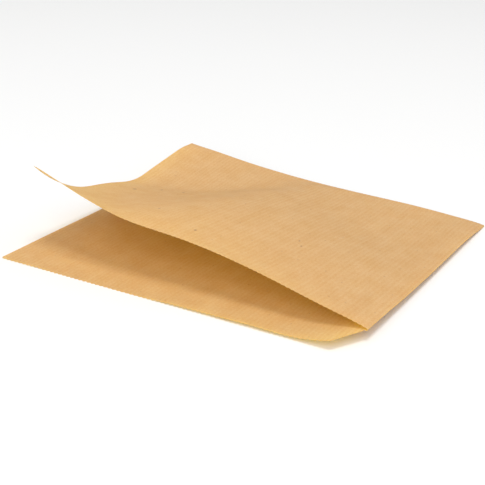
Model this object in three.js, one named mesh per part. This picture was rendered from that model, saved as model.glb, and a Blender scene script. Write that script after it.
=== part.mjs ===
// Flat paper bag, open on two sides, lying on a table with its upper ply lifted.
//
// One sheet of thin ribbed kraft paper makes the whole bag. It is folded once along
// the right-hand edge, and closed along the back edge, where the upper ply wraps
// around the end of the lower ply and is glued beneath it as a flap. The front edge
// (serrated cut) and the left edge (straight cut) stay open, and the lower ply runs
// on past the upper one as a lip with a tapered right-hand corner.
//
// Units are millimetres, +Z is up and the bag lies on z = 0. The origin is the centre
// of the bag's bounding box at table height. +X runs along the mouth towards the
// fold, +Y from the mouth towards the closed back edge.
//
// Each ply is a developed sheet: u runs along the mouth from the open left edge to the
// fold, v from the lip's front edge to the back seam. A cubic B-spline net gives the
// middle surface of each ply over (u, v), and the two nets share the fold and the seam.

import * as THREE from 'three';

// ---------------------------------------------------------------- driving dimensions
const WIDTH = 170;            // flat width of the bag, open left edge to fold
const DEPTH = 160;            // flat depth of the lower ply, lip included
const LIP = 15;               // how far the lower ply runs past the upper one
const LIP_CORNER_U = 161.35;  // where the lip's front edge ends
const LIP_SHOULDER_U = 168.6; // where the lip's tapered edge meets its shoulder
const LIP_SHOULDER_V = 13.2;
const LIP_NOTCH_U = 168.9;    // small notch beside the fold where the lip begins
const THICKNESS = 0.1;        // paper
const FOLD_RADIUS = 0.35;     // middle radius of the fold and of the back edge
const FLAP = 12;              // width of the glued flap under the back edge
const FLAP_STEP = 0.05;       // run of the flap's cut edge
const TOOTH_PITCH = 2.2;      // serrated cut along the two front edges
const TOOTH_DEPTH = 0.45;
const TEETH_TO_ROW = 3.2;     // first plain row behind a serrated edge
const FOLD_STEPS = 4;         // facets around a fold
const CORNER_STEPS = 3;       // facets around the closed corner

// stations across and along the main area of both plies
const COLUMNS = [0, 7, 14, 21, 28, 35, 43, 51, 59, 67, 75, 83, 91, 99, 107, 115, 123, 131, 139, 147, 154, 160, 165, 168.9, 170];
const ROWS = [15, 18.2, 24, 31, 38, 45, 52, 59, 66, 73, 80, 86, 92, 98, 104, 110, 116, 122, 128, 134, 141, 148, 148.05, 154, 160];
const LIP_ROWS = [0, 3.2, 8, 13.2, 15];
const LIP_PLAIN_U = 147;      // the lip's columns are straight up to here

// ---------------------------------------------------------------- control nets
// Clamped cubic knots over u and v, and one net of control points for each ply.
const KNOTS_U = [0, 0, 0, 0, 8, 17, 27, 38, 50, 64, 79, 95, 112, 129, 145, 158, 170, 170, 170, 170];
const KNOTS_V = [0, 0, 0, 0, 9, 18, 30, 43, 56, 70, 84, 96, 107, 118, 130, 142, 152, 160, 160, 160, 160];
const UPPER_NET = [
  [[-81.06, -71.15, 47.88], [-81.26, -68.82, 46], [-81.69, -64.19, 42.17], [-82.37, -56.55, 35.77], [-83.08, -47.53, 28.84], [-83.51, -36.52, 22.51], [-83.66, -24.22, 17.03], [-83.73, -10.67, 14.79], [-83.8, 2.39, 12.27], [-83.96, 14.2, 8.95], [-84.14, 25.45, 7.46], [-84.1, 36.63, 9.46], [-84.16, 48.14, 10.9], [-84.22, 59.42, 12.38], [-84.25, 69.39, 13.74], [-84.37, 75.54, 13.02], [-84.26, 78.21, 13.24]],
  [[-78.5, -71.56, 47.06], [-78.69, -69.18, 45.23], [-79.05, -64.41, 41.6], [-79.73, -56.63, 35.39], [-80.43, -47.59, 28.54], [-80.87, -36.59, 22.19], [-80.98, -24.14, 17.22], [-81.09, -10.73, 14.45], [-81.11, 2.41, 12.31], [-81.31, 14.15, 8.44], [-81.45, 25.48, 7.41], [-81.52, 36.74, 8.55], [-81.52, 48.21, 10.56], [-81.64, 59.5, 11.77], [-81.62, 69.44, 13.23], [-81.59, 75.46, 14.28], [-81.68, 78.15, 12.87]],
  [[-73.08, -72.43, 45.29], [-73.25, -70.01, 43.53], [-73.6, -65.18, 40], [-74.25, -57.21, 34.06], [-74.91, -48.06, 27.33], [-75.21, -36.7, 21.61], [-75.31, -24.04, 17.36], [-75.42, -10.79, 14.02], [-75.46, 2.39, 11.89], [-75.63, 14.18, 8.27], [-75.79, 25.51, 6.66], [-75.86, 36.81, 8.23], [-75.93, 48.36, 9.48], [-76.05, 59.62, 10.94], [-76.1, 69.53, 12.06], [-76.04, 75.46, 12.69], [-76.18, 78.19, 12.21]],
  [[-64.54, -73.94, 42.24], [-64.69, -71.43, 40.63], [-64.99, -66.43, 37.4], [-65.54, -58.14, 31.89], [-66.05, -48.52, 25.84], [-66.24, -36.9, 20.69], [-66.33, -24.01, 17.17], [-66.4, -10.74, 13.92], [-66.5, 2.37, 11.38], [-66.59, 14.36, 8.41], [-66.75, 25.59, 6.85], [-66.9, 36.95, 6.96], [-66.98, 48.51, 8.58], [-67.1, 59.77, 9.66], [-67.19, 69.69, 10.68], [-67.31, 75.68, 10.95], [-67.35, 78.32, 11.29]],
  [[-55.11, -75.69, 38.43], [-55.25, -73.08, 37.04], [-55.52, -67.85, 34.24], [-55.89, -59.17, 29.32], [-56.21, -49.08, 24.08], [-56.27, -36.96, 20.06], [-56.33, -23.96, 17.07], [-56.42, -10.56, 14.33], [-56.47, 2.37, 10.88], [-56.6, 14.61, 9.22], [-56.7, 25.63, 5.88], [-56.88, 37.05, 6.66], [-57.01, 48.65, 7.72], [-57.18, 59.99, 8.61], [-57.29, 69.95, 9.54], [-57.42, 75.96, 9.86], [-57.51, 78.63, 9.74]],
  [[-44.65, -77.47, 33.79], [-44.72, -74.72, 32.82], [-44.86, -69.2, 30.88], [-45.12, -59.86, 27.27], [-45.22, -49.17, 23.12], [-45.25, -36.8, 20.33], [-45.36, -23.68, 17.96], [-45.48, -10.27, 15.33], [-45.48, 2.69, 12.1], [-45.64, 14.82, 9.75], [-45.57, 25.8, 6.79], [-45.94, 37.28, 5.64], [-46.06, 48.86, 7.17], [-46.27, 60.22, 7.48], [-46.47, 70.24, 8.03], [-46.62, 76.27, 7.9], [-46.66, 78.93, 8.24]],
  [[-32.78, -78.84, 28.45], [-32.82, -75.96, 27.81], [-32.9, -70.2, 26.55], [-32.84, -60.23, 25.14], [-32.88, -48.85, 24.07], [-33.04, -36.37, 21.98], [-33.18, -23.25, 19.68], [-33.26, -9.87, 16.8], [-33.34, 3.13, 13.89], [-33.35, 15.16, 11.2], [-33.56, 26.41, 9.66], [-33.29, 37.27, 6.22], [-33.85, 49.22, 6.04], [-34.02, 60.53, 6.83], [-34.25, 70.58, 6.78], [-34.31, 76.52, 7.3], [-34.4, 79.21, 6.94]],
  [[-19.2, -79.21, 24.58], [-19.18, -76.18, 24.41], [-19.15, -70.12, 24.1], [-19.23, -60.15, 24.22], [-19.26, -48.82, 23.92], [-19.34, -36.17, 22.71], [-19.53, -22.9, 21.1], [-19.73, -9.35, 19.23], [-20.01, 4, 18.05], [-20.06, 15.92, 14.56], [-20.23, 27.12, 12.83], [-20.47, 38.39, 11.48], [-20.07, 49.34, 6.68], [-20.45, 60.79, 6.09], [-20.63, 70.72, 5.37], [-20.78, 76.87, 5.97], [-20.81, 79.49, 5.72]],
  [[-4.31, -79.23, 23.26], [-4.32, -76.22, 23.24], [-4.33, -70.19, 23.22], [-4.23, -60.11, 23.48], [-4.32, -48.82, 22.16], [-4.47, -36.24, 20.78], [-4.57, -22.96, 19.39], [-4.69, -9.33, 18.09], [-4.81, 3.82, 16.19], [-5, 16.04, 14.51], [-5.08, 27.35, 13.59], [-5.15, 38.53, 11.98], [-5.43, 50.22, 11.07], [-5.51, 61.34, 8.75], [-5.66, 71.29, 7.72], [-5.74, 76.92, 4.38], [-5.79, 79.65, 4.77]],
  [[11.88, -79.04, 23.26], [11.83, -76.07, 22.97], [11.74, -70.12, 22.36], [11.6, -60.23, 20.83], [11.42, -49, 19.34], [11.29, -36.4, 17.94], [11.15, -23.13, 16.6], [11.06, -9.55, 15.21], [10.98, 3.75, 14.03], [10.85, 15.96, 12.32], [10.69, 27.12, 10.36], [10.47, 38.31, 8.54], [10.38, 49.78, 6.41], [10.33, 61.14, 6], [10.27, 71.08, 4.84], [10.29, 77.26, 6.32], [10.22, 79.69, 4.23]],
  [[28.65, -78.97, 21.29], [28.57, -76.02, 20.75], [28.41, -70.12, 19.64], [28, -60.37, 17.6], [27.67, -49.23, 15.55], [27.5, -36.66, 14.08], [27.43, -23.38, 12.82], [27.43, -9.74, 11.93], [27.46, 3.55, 11.16], [27.33, 15.79, 9.65], [27.13, 26.97, 7.87], [26.98, 38.15, 6.03], [26.97, 49.87, 5.76], [26.91, 61.15, 4.72], [26.92, 71.16, 4.75], [26.9, 77.05, 3.86], [26.86, 79.77, 3.8]],
  [[44.78, -79.31, 17.63], [44.69, -76.36, 17.08], [44.52, -70.46, 15.99], [44.3, -60.58, 14.22], [44.05, -49.41, 12.37], [43.91, -36.82, 10.96], [43.93, -23.51, 10.43], [43.94, -9.89, 9.64], [43.86, 3.39, 8.29], [43.69, 15.57, 6.42], [43.55, 26.78, 4.68], [43.53, 38.14, 4.08], [43.54, 49.77, 3.63], [43.58, 61.12, 3.71], [43.58, 71.09, 3.27], [43.59, 77.14, 3.54], [43.63, 79.78, 3.59]],
  [[59.58, -79.63, 13.78], [59.52, -76.66, 13.22], [59.39, -70.73, 12.12], [59.18, -60.88, 10.63], [59.01, -49.62, 9.08], [59.07, -36.95, 8.68], [59.14, -23.64, 8.36], [59.17, -9.97, 7.77], [59, 3.23, 5.84], [58.87, 15.46, 4.23], [58.85, 26.8, 3.56], [58.84, 38.09, 2.99], [58.84, 49.76, 2.68], [58.85, 61.09, 2.39], [58.89, 71.1, 2.71], [58.93, 77.07, 2.74], [58.93, 79.75, 2.87]],
  [[72.64, -79.94, 10.2], [72.64, -76.97, 9.84], [72.64, -71.04, 9.07], [72.47, -61.07, 7.67], [72.5, -49.75, 6.96], [72.48, -37.11, 6.06], [72.61, -23.78, 5.98], [72.61, -10.14, 5.31], [72.52, 3.14, 4.04], [72.47, 15.43, 2.99], [72.46, 26.73, 2.2], [72.49, 38.09, 1.96], [72.51, 49.75, 2.02], [72.53, 61.08, 2.57], [72.55, 71.06, 2.2], [72.54, 77.09, 2.03], [72.56, 79.75, 1.93]],
  [[80.47, -80.12, 7.34], [80.51, -77.13, 7.14], [80.59, -71.13, 6.95], [80.72, -61.18, 6.35], [80.62, -49.87, 5.34], [80.75, -37.18, 4.96], [80.76, -23.88, 4.09], [80.83, -10.22, 3.96], [80.77, 3.08, 2.91], [80.82, 15.41, 2.41], [80.83, 26.76, 2.59], [80.82, 38.08, 2.64], [80.83, 49.75, 2.95], [80.86, 61.08, 2.37], [80.88, 71.08, 2.13], [80.85, 77.04, 1.62], [80.84, 79.72, 1.47]],
  [[84.22, -80.2, 6.6], [84.26, -77.24, 6.15], [84.35, -71.29, 5.21], [84.49, -61.27, 5.17], [84.62, -49.9, 4.95], [84.67, -37.24, 4.25], [84.73, -23.91, 3.48], [84.79, -10.23, 3.51], [84.81, 3.09, 2.98], [84.8, 15.43, 2.97], [84.81, 26.75, 2.87], [84.81, 38.08, 2.86], [84.83, 49.74, 2.73], [84.86, 61.07, 2.25], [84.85, 71.05, 1.4], [84.81, 77.04, 1.02], [84.76, 79.69, 0.7]],
];
const LOWER_NET = [
  [[-85.23, -80.17, 0.49], [-85.22, -77.17, 0.47], [-85.21, -71.17, 0.42], [-85.19, -61.17, 0.41], [-85.18, -49.83, 0.42], [-85.18, -37.17, 0.3], [-85.17, -23.84, 0.18], [-85.17, -10.18, 0.08], [-85.17, 3.15, 0.07], [-85.18, 15.48, -0.02], [-85.19, 26.8, 0.12], [-85.2, 38.1, 1.12], [-85.15, 49.59, 3.24], [-84.99, 60.55, 6.18], [-84.76, 70.1, 9.29], [-84.49, 75.72, 11.52], [-84.26, 78.21, 12.54]],
  [[-82.56, -80.17, 0.39], [-82.55, -77.17, 0.38], [-82.54, -71.17, 0.37], [-82.52, -61.17, 0.37], [-82.51, -49.84, 0.38], [-82.51, -37.17, 0.28], [-82.51, -23.84, 0.17], [-82.5, -10.18, 0.07], [-82.51, 3.15, 0.06], [-82.51, 15.48, -0.01], [-82.52, 26.81, 0.09], [-82.53, 38.11, 1], [-82.49, 49.62, 2.99], [-82.35, 60.61, 5.82], [-82.13, 70.14, 8.92], [-81.85, 75.68, 11.16], [-81.68, 78.15, 12.17]],
  [[-76.88, -80.18, 0.14], [-76.88, -77.18, 0.21], [-76.87, -71.18, 0.28], [-76.86, -61.17, 0.29], [-76.85, -49.84, 0.29], [-76.84, -37.17, 0.22], [-76.84, -23.84, 0.14], [-76.84, -10.18, 0.06], [-76.84, 3.15, 0.02], [-76.84, 15.48, 0.01], [-76.85, 26.81, 0.04], [-76.87, 38.13, 0.75], [-76.85, 49.68, 2.45], [-76.75, 60.73, 5.01], [-76.51, 70.23, 8.04], [-76.25, 75.72, 10.45], [-76.18, 78.19, 11.51]],
  [[-67.87, -80.17, 0.47], [-67.87, -77.17, 0.4], [-67.86, -71.17, 0.28], [-67.86, -61.18, 0.22], [-67.85, -49.84, 0.18], [-67.84, -37.18, 0.15], [-67.84, -23.84, 0.09], [-67.84, -10.17, 0.05], [-67.84, 3.16, 0.01], [-67.84, 15.49, 0.03], [-67.85, 26.82, -0.01], [-67.86, 38.15, 0.44], [-67.87, 49.75, 1.64], [-67.8, 60.89, 3.79], [-67.59, 70.39, 6.98], [-67.41, 75.86, 9.54], [-67.35, 78.32, 10.59]],
  [[-57.86, -80.18, 0.18], [-57.86, -77.18, 0.18], [-57.86, -71.18, 0.16], [-57.85, -61.18, 0.12], [-57.85, -49.85, 0.1], [-57.84, -37.18, 0.08], [-57.84, -23.84, 0.06], [-57.84, -10.17, 0.03], [-57.84, 3.16, 0.02], [-57.84, 15.5, 0.03], [-57.84, 26.83, -0.01], [-57.85, 38.16, 0.21], [-57.87, 49.8, 0.98], [-57.83, 60.99, 2.88], [-57.7, 70.55, 5.92], [-57.57, 76.12, 8.12], [-57.51, 78.63, 9.04]],
  [[-46.86, -80.19, -0.1], [-46.86, -77.19, -0.06], [-46.86, -71.19, -0.01], [-46.85, -61.18, 0.03], [-46.85, -49.85, 0.04], [-46.85, -37.18, 0.04], [-46.84, -23.84, 0.03], [-46.84, -10.17, 0.02], [-46.84, 3.17, 0.02], [-46.84, 15.5, 0.02], [-46.84, 26.84, 0.02], [-46.84, 38.17, 0.09], [-46.85, 49.82, 0.63], [-46.84, 61.07, 2.16], [-46.77, 70.76, 4.65], [-46.69, 76.42, 6.65], [-46.66, 78.93, 7.54]],
  [[-34.52, -80.18, 0.15], [-34.52, -77.18, 0.12], [-34.52, -71.18, 0.06], [-34.52, -61.18, 0.03], [-34.52, -49.84, 0.02], [-34.52, -37.17, 0.01], [-34.51, -23.84, 0.02], [-34.51, -10.17, 0.02], [-34.5, 3.17, 0.02], [-34.5, 15.51, 0.03], [-34.5, 26.84, 0.01], [-34.5, 38.17, 0.09], [-34.49, 49.83, 0.5], [-34.49, 61.11, 1.67], [-34.47, 70.92, 3.7], [-34.42, 76.66, 5.46], [-34.4, 79.21, 6.24]],
  [[-20.85, -80.18, -0.11], [-20.86, -77.18, -0.08], [-20.86, -71.18, -0.03], [-20.86, -61.18, 0.01], [-20.86, -49.84, 0.02], [-20.85, -37.17, 0.03], [-20.85, -23.84, 0.02], [-20.84, -10.17, 0.02], [-20.84, 3.17, 0.02], [-20.83, 15.5, 0.01], [-20.82, 26.84, 0.03], [-20.82, 38.17, 0.17], [-20.81, 49.83, 0.57], [-20.81, 61.13, 1.57], [-20.8, 71.01, 3.16], [-20.8, 76.88, 4.45], [-20.81, 79.49, 5.02]],
  [[-5.86, -80.17, 0.42], [-5.86, -77.17, 0.37], [-5.86, -71.17, 0.27], [-5.86, -61.17, 0.12], [-5.86, -49.84, 0.01], [-5.86, -37.17, 0.02], [-5.85, -23.84, 0.02], [-5.84, -10.17, 0.02], [-5.83, 3.17, 0.01], [-5.83, 15.5, 0.04], [-5.82, 26.83, 0.13], [-5.81, 38.17, 0.32], [-5.8, 49.82, 0.76], [-5.8, 61.13, 1.64], [-5.8, 71.06, 2.86], [-5.8, 77.01, 3.7], [-5.79, 79.65, 4.07]],
  [[10.12, -80.16, 1.05], [10.12, -77.16, 0.92], [10.12, -71.17, 0.67], [10.13, -61.17, 0.31], [10.14, -49.84, 0.07], [10.14, -37.17, 0.02], [10.15, -23.84, 0.03], [10.16, -10.18, 0.01], [10.17, 3.16, 0.02], [10.18, 15.49, 0.11], [10.19, 26.83, 0.25], [10.2, 38.16, 0.5], [10.21, 49.82, 0.91], [10.21, 61.13, 1.62], [10.21, 71.08, 2.52], [10.21, 77.04, 3.22], [10.22, 79.69, 3.53]],
  [[26.78, -80.17, 0.9], [26.78, -77.17, 0.82], [26.78, -71.17, 0.65], [26.79, -61.18, 0.31], [26.8, -49.85, 0.04], [26.81, -37.18, -0.01], [26.82, -23.85, 0.01], [26.83, -10.19, 0.02], [26.84, 3.15, 0.07], [26.84, 15.48, 0.17], [26.85, 26.81, 0.35], [26.86, 38.15, 0.63], [26.88, 49.81, 1.09], [26.89, 61.14, 1.65], [26.89, 71.13, 2.38], [26.88, 77.11, 2.89], [26.86, 79.77, 3.1]],
  [[43.41, -80.17, 1.56], [43.41, -77.18, 1.34], [43.43, -71.19, 0.92], [43.44, -61.19, 0.38], [43.47, -49.86, 0.1], [43.48, -37.19, 0.13], [43.49, -23.86, 0.23], [43.5, -10.2, 0.29], [43.51, 3.13, 0.28], [43.51, 15.46, 0.31], [43.52, 26.79, 0.44], [43.53, 38.13, 0.7], [43.53, 49.8, 1.02], [43.54, 61.13, 1.61], [43.57, 71.13, 2.23], [43.6, 77.12, 2.68], [43.63, 79.78, 2.89]],
  [[58.76, -80.21, 0.77], [58.76, -77.21, 0.77], [58.76, -71.2, 0.77], [58.79, -61.21, 0.79], [58.78, -49.87, 0.88], [58.8, -37.21, 0.93], [58.81, -23.88, 0.93], [58.83, -10.22, 0.87], [58.84, 3.11, 0.73], [58.85, 15.44, 0.6], [58.86, 26.78, 0.55], [58.85, 38.11, 0.8], [58.86, 49.76, 1.35], [58.86, 61.1, 1.26], [58.88, 71.11, 1.37], [58.91, 77.1, 1.87], [58.93, 79.75, 2.17]],
  [[72.27, -80.23, 2.99], [72.31, -77.25, 2.92], [72.32, -71.23, 2.92], [72.29, -61.21, 2.85], [72.38, -49.89, 2.41], [72.42, -37.23, 2.2], [72.45, -23.9, 1.91], [72.48, -10.23, 1.69], [72.5, 3.1, 1.46], [72.52, 15.43, 1.07], [72.53, 26.76, 0.93], [72.54, 38.09, 0.55], [72.53, 49.76, 0.94], [72.52, 61.07, 1.06], [72.52, 71.07, 0.8], [72.55, 77.08, 1.3], [72.56, 79.75, 1.23]],
  [[80.25, -80.21, 5.32], [80.34, -77.26, 4.86], [80.31, -71.25, 4.45], [80.51, -61.21, 4.24], [80.64, -49.9, 3.62], [80.7, -37.25, 3.11], [80.75, -23.9, 2.51], [80.8, -10.23, 2.4], [80.81, 3.09, 2.08], [80.84, 15.42, 1.7], [80.84, 26.76, 1.59], [80.85, 38.08, 1.66], [80.87, 49.74, 1.36], [80.86, 61.07, 1.46], [80.86, 71.04, 0.71], [80.82, 77.04, 0.85], [80.84, 79.72, 0.77]],
  [[84.22, -80.2, 5.9], [84.26, -77.24, 5.45], [84.35, -71.29, 4.51], [84.49, -61.27, 4.47], [84.62, -49.9, 4.25], [84.67, -37.24, 3.55], [84.73, -23.91, 2.78], [84.79, -10.23, 2.81], [84.81, 3.09, 2.28], [84.8, 15.43, 2.27], [84.81, 26.75, 2.17], [84.81, 38.08, 2.16], [84.83, 49.74, 2.03], [84.86, 61.07, 1.55], [84.85, 71.05, 0.7], [84.81, 77.04, 0.32], [84.76, 79.69, -0]],
];

// ---------------------------------------------------------------- surface evaluation
function basis(knots, t) {
  // the four cubic B-spline weights at t and the index of the first one
  const last = knots.length - 5;
  let span = 3;
  while (span < last && t >= knots[span + 1]) span++;
  const w = [1, 0, 0, 0];
  for (let d = 1; d <= 3; d++) {
    let saved = 0;
    for (let r = 0; r < d; r++) {
      const right = knots[span + r + 1], left = knots[span + 1 - d + r];
      const share = w[r] / (right - left);
      w[r] = saved + (right - t) * share;
      saved = (t - left) * share;
    }
    w[d] = saved;
  }
  return [span - 3, w];
}

function onNet(net, u, v) {
  const [a0, wu] = basis(KNOTS_U, u);
  const [b0, wv] = basis(KNOTS_V, v);
  const p = [0, 0, 0];
  for (let a = 0; a < 4; a++) for (let b = 0; b < 4; b++) {
    const q = net[a0 + a][b0 + b], w = wu[a] * wv[b];
    p[0] += w * q[0]; p[1] += w * q[1]; p[2] += w * q[2];
  }
  return p;
}

// the lower ply lies flat wherever its net comes down to the table
const FLAT_Z = THICKNESS / 2;
function lower(u, v) {
  const p = onNet(LOWER_NET, u, v);
  return new THREE.Vector3(p[0], p[1], Math.max(p[2], FLAT_Z));
}
// the upper ply never comes closer to the lower one than the fold holds it
function upper(u, v) {
  const p = onNet(UPPER_NET, u, v), q = onNet(LOWER_NET, u, v);
  return new THREE.Vector3(p[0], p[1], Math.max(p[2], Math.max(q[2], FLAT_Z) + 2 * FOLD_RADIUS));
}

// ---------------------------------------------------------------- the sheet as one middle surface
const mid = [];        // middle-surface points
const outward = [];    // paper on the bag's outer side of each point
const faces = [];      // triangles, wound so that they face out of the bag

function point(p, out = THICKNESS / 2) {
  mid.push(p);
  outward.push(out);
  return mid.length - 1;
}
function face(a, b, c) {
  if (a !== b && b !== c && c !== a) faces.push([a, b, c]);
}
function quad(a, b, c, d, flip = false) {
  // splits along the shorter diagonal
  const short = mid[a].distanceTo(mid[c]) <= mid[b].distanceTo(mid[d]);
  const pair = short ? [[a, b, c], [a, c, d]] : [[a, b, d], [b, c, d]];
  for (const t of pair) flip ? face(t[0], t[2], t[1]) : face(...t);
}
function patch(grid, flip) {
  for (let i = 0; i + 1 < grid.length; i++)
    for (let j = 0; j + 1 < grid[i].length; j++)
      quad(grid[i][j], grid[i + 1][j], grid[i + 1][j + 1], grid[i][j + 1], flip);
}
function zip(front, back, flip) {
  // joins two chains of {u, id} that run the same way but have different steps
  let i = 0, j = 0;
  while (i + 1 < front.length || j + 1 < back.length) {
    const takeFront = j + 1 >= back.length ||
      (i + 1 < front.length && front[i + 1].u <= back[j + 1].u + 1e-9);
    const tri = takeFront ? [front[i].id, front[i + 1].id, back[j].id]
                          : [front[i].id, back[j + 1].id, back[j].id];
    flip ? face(tri[0], tri[2], tri[1]) : face(...tri);
    if (takeFront) i++; else j++;
  }
}

// serrated cut: the edge runs from valley to tip and back once every pitch
function serrated(surface, v0, end, columns) {
  const us = [];
  for (let k = 0; k * TOOTH_PITCH / 2 < end - 0.4; k++) us.push(k * TOOTH_PITCH / 2);
  us.push(end);
  return us.map((u, k) => {
    const tooth = k === us.length - 1 ? 0 : (k % 2 ? TOOTH_DEPTH : 0);
    return { u: columns(u), id: point(surface(u, v0 + TOOTH_DEPTH - tooth)) };
  });
}

const flapAt = v => (v > DEPTH - FLAP + FLAP_STEP / 2 ? 1.5 * THICKNESS : THICKNESS / 2);

// upper ply: rows behind the serrated front edge
const up = COLUMNS.map(u => ROWS.slice(1).map(v => point(upper(u, v))));
patch(up, false);
const upFront = serrated(upper, LIP, WIDTH, u => u);
zip(upFront, COLUMNS.map((u, i) => ({ u, id: up[i][0] })), false);

// lower ply: main area, then the lip in front of it
const lo = COLUMNS.map(u => ROWS.map(v => point(lower(u, v), flapAt(v))));
patch(lo, true);
const lipRight = v => v <= LIP_SHOULDER_V
  ? LIP_CORNER_U + (LIP_SHOULDER_U - LIP_CORNER_U) * v / LIP_SHOULDER_V
  : LIP_SHOULDER_U + (LIP_NOTCH_U - LIP_SHOULDER_U) * (v - LIP_SHOULDER_V) / (LIP - LIP_SHOULDER_V);
const lipColumn = (u, v) => u <= LIP_PLAIN_U ? u
  : LIP_PLAIN_U + (u - LIP_PLAIN_U) * (lipRight(v) - LIP_PLAIN_U) / (LIP_NOTCH_U - LIP_PLAIN_U);
const lipCols = COLUMNS.slice(0, -1);
const lip = lipCols.map((u, i) => LIP_ROWS.slice(1).map(v =>
  (v === LIP ? lo[i][0] : point(lower(lipColumn(u, v), v)))));
patch(lip, true);
const lipFront = serrated(lower, 0, LIP_CORNER_U, u => u);
zip(lipFront, lipCols.map((u, i) => ({ u: lipColumn(u, LIP_ROWS[1]), id: lip[i][0] })), true);

// fold and back edge: half rounds from the lower ply's edge to the upper ply's
const Z = new THREE.Vector3(0, 0, 1);
function halfRound(lowId, highId, dir) {
  const centre = mid[lowId].clone().add(mid[highId]).multiplyScalar(0.5);
  const half = mid[highId].clone().sub(mid[lowId]).multiplyScalar(0.5);
  const r = half.length(), upDir = half.clone().normalize();
  const outDir = dir.clone().addScaledVector(upDir, -dir.dot(upDir)).normalize();
  const ids = [lowId];
  for (let k = 1; k < FOLD_STEPS; k++) {
    const a = -Math.PI / 2 + Math.PI * k / FOLD_STEPS;
    const share = k / FOLD_STEPS;
    ids.push(point(centre.clone().addScaledVector(upDir, r * Math.sin(a)).addScaledVector(outDir, r * Math.cos(a)),
      outward[lowId] * (1 - share) + outward[highId] * share));
  }
  ids.push(highId);
  return ids;
}
const last = COLUMNS.length - 1, back = ROWS.length - 1;
const upEdge = [upFront[upFront.length - 1].id, ...up[last]];   // along the fold, front to back
const rings = [];
for (let j = 0; j <= back; j++) {
  const a = mid[lo[last][Math.max(j - 1, 0)]], b = mid[lo[last][Math.min(j + 1, back)]];
  const along = b.clone().sub(a);
  rings.push(halfRound(lo[last][j], upEdge[j], new THREE.Vector3(along.y, -along.x, 0).normalize()));
}
const sideDir = rings.length && (() => {
  const a = mid[lo[last][back - 1]], b = mid[lo[last][back]];
  return new THREE.Vector3(b.y - a.y, -(b.x - a.x), 0).normalize();
})();
const backDir = i => {
  const a = mid[lo[Math.max(i - 1, 0)][back]], b = mid[lo[Math.min(i + 1, last)][back]];
  return new THREE.Vector3(-(b.y - a.y), b.x - a.x, 0).normalize();
};
for (let k = 1; k <= CORNER_STEPS; k++) {
  const t = k / CORNER_STEPS;
  const dir = sideDir.clone().multiplyScalar(Math.cos(t * Math.PI / 2)).addScaledVector(backDir(last), Math.sin(t * Math.PI / 2));
  rings.push(halfRound(lo[last][back], up[last][back - 1], dir.normalize()));
}
for (let i = last - 1; i >= 0; i--) rings.push(halfRound(lo[i][back], up[i][back - 1], backDir(i)));
for (let k = 0; k + 1 < rings.length; k++)
  for (let m = 0; m < FOLD_STEPS; m++)
    quad(rings[k][m], rings[k + 1][m], rings[k + 1][m + 1], rings[k][m + 1], false);

// ---------------------------------------------------------------- give the sheet its thickness
const normals = mid.map(() => new THREE.Vector3());
for (const [a, b, c] of faces) {
  const pts = [mid[a], mid[b], mid[c]];
  const n = pts[1].clone().sub(pts[0]).cross(pts[2].clone().sub(pts[0])).normalize();
  [a, b, c].forEach((id, k) => {
    const e1 = pts[(k + 1) % 3].clone().sub(pts[k]), e2 = pts[(k + 2) % 3].clone().sub(pts[k]);
    normals[id].addScaledVector(n, e1.angleTo(e2));
  });
}
normals.forEach(n => n.normalize());

const count = mid.length;
const positions = new Float32Array(count * 6);
for (let i = 0; i < count; i++) {
  const out = mid[i].clone().addScaledVector(normals[i], outward[i]);
  const inn = mid[i].clone().addScaledVector(normals[i], -THICKNESS / 2);
  out.z = Math.max(out.z, 0);
  positions.set([out.x, out.y, out.z], 3 * i);
  positions.set([inn.x, inn.y, inn.z], 3 * (count + i));
}
const index = [];
const edges = new Map();
for (const [a, b, c] of faces) {
  index.push(a, b, c, count + a, count + c, count + b);
  for (const [p, q] of [[a, b], [b, c], [c, a]]) edges.set(p + '_' + q, [p, q]);
}
for (const [key, [p, q]] of edges)
  if (!edges.has(q + '_' + p)) index.push(q, p, count + p, q, count + p, count + q);

const geometry = new THREE.BufferGeometry();
geometry.setAttribute('position', new THREE.BufferAttribute(positions, 3));
geometry.setIndex(index);
geometry.computeVertexNormals();

const kraft = new THREE.MeshStandardMaterial({ name: 'kraft_paper', color: 0xdeb47d, roughness: 0.72, metalness: 0 });
const bag = new THREE.Mesh(geometry, kraft);
bag.name = 'paper_bag';

const model = new THREE.Group();
model.name = 'flat_paper_bag';
model.add(bag);

export default model;
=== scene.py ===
import math

import bpy
import numpy as np
from mathutils import Matrix


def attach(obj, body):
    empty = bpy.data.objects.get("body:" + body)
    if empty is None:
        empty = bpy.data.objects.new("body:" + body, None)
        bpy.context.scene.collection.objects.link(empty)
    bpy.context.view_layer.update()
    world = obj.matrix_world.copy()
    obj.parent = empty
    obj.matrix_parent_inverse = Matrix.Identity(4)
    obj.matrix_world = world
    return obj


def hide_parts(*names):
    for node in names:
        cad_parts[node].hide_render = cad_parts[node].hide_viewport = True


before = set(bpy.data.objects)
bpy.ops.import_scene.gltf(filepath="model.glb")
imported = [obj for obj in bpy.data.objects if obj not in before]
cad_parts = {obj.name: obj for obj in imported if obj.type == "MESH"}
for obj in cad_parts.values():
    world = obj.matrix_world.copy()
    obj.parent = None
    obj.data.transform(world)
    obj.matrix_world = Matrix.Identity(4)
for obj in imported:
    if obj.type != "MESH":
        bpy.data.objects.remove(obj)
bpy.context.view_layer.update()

# ---------------------------------------------------------------- dimensions, mm
WIDTH, DEPTH, LIP = 170.0, 160.0, 15.0
LIP_CORNER_U, LIP_SHOULDER_U, LIP_SHOULDER_V, LIP_NOTCH_U = 161.35, 168.6, 13.2, 168.9
THICKNESS = 0.1
FOLD_RADIUS = 0.35
FLAP = 12.0
TOOTH_PITCH, TOOTH_DEPTH = 2.2, 0.52
RIB_PITCH = 2.125
RIB_HEIGHT = 0.028
FOLD_STEPS = 8
CORNER_STEPS = 6
COLUMN = RIB_PITCH / 4
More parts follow.
